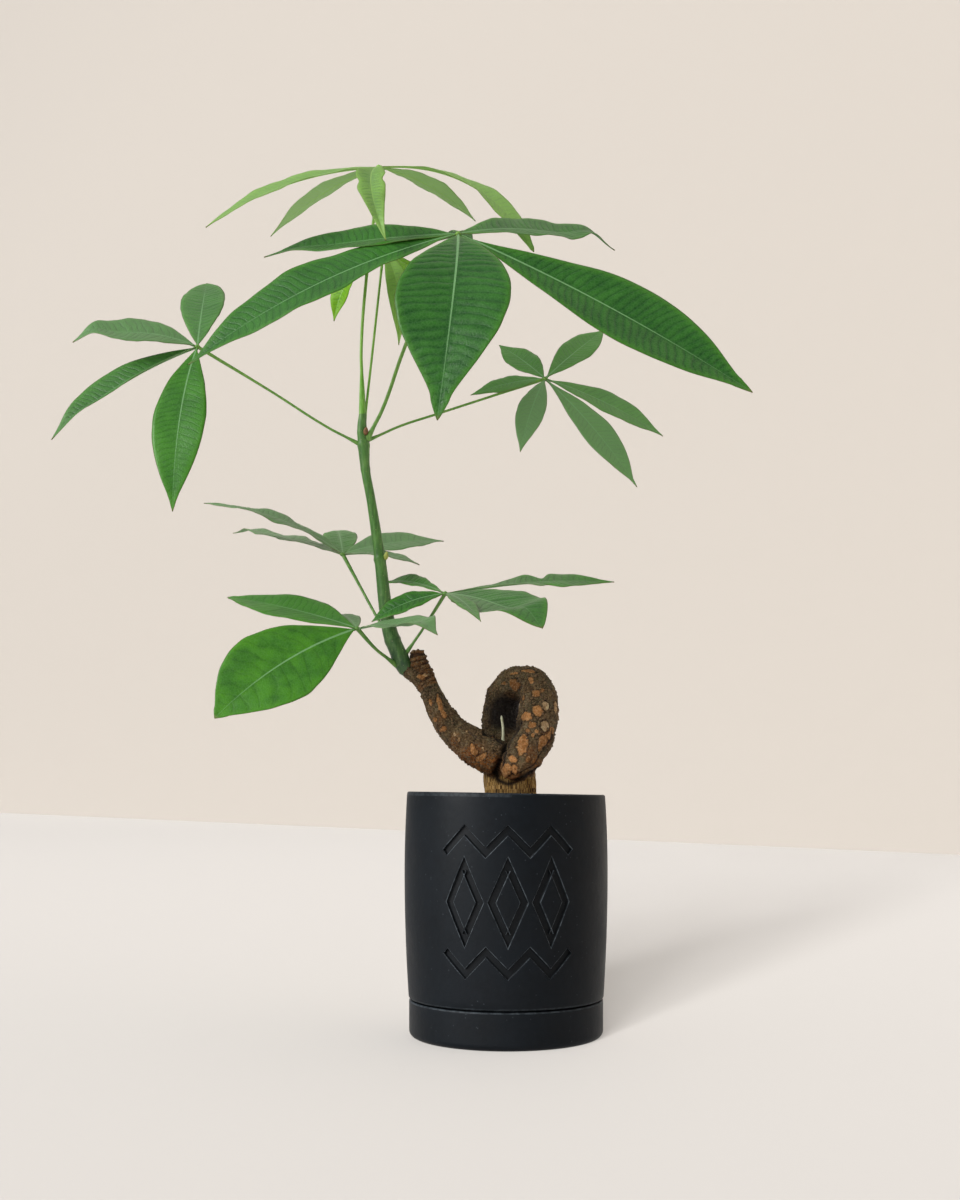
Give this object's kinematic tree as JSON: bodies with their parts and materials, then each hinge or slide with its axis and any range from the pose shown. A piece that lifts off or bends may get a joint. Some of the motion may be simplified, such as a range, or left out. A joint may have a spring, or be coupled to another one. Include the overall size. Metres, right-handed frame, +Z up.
{
  "type": "potted money tree",
  "caption": "Young money tree with a looped woody trunk and palmate leaves, standing in a round matte black ceramic pot with an engraved front, on a matching saucer.",
  "frame": {"origin": "middle of the saucer's flat underside, on the pot's axis", "axes": "+Z up along the pot's axis, -Y towards the engraved front and the viewer, +X to the viewer's right"},
  "size_m": [0.4088, 0.2208, 0.5413],
  "materials": {
    "ceramic": "matte",
    "soil": "matte",
    "bark": "matte",
    "green_stem": "satin",
    "straw": "matte",
    "young_leaf": "satin",
    "leaf": "satin"
  },
  "bodies": {
    "root": {"pot": "ceramic", "saucer": "ceramic", "soil": "soil", "trunk": "bark", "green_stem": "green_stem", "dry_sprout": "straw", "leaf_top": "young_leaf", "leaf_second": "young_leaf", "leaf_main": "leaf", "leaf_left": "leaf", "leaf_right": "leaf", "leaf_low_back": "leaf", "leaf_low_left": "leaf", "leaf_low_right": "leaf"}
  },
  "joints": []
}
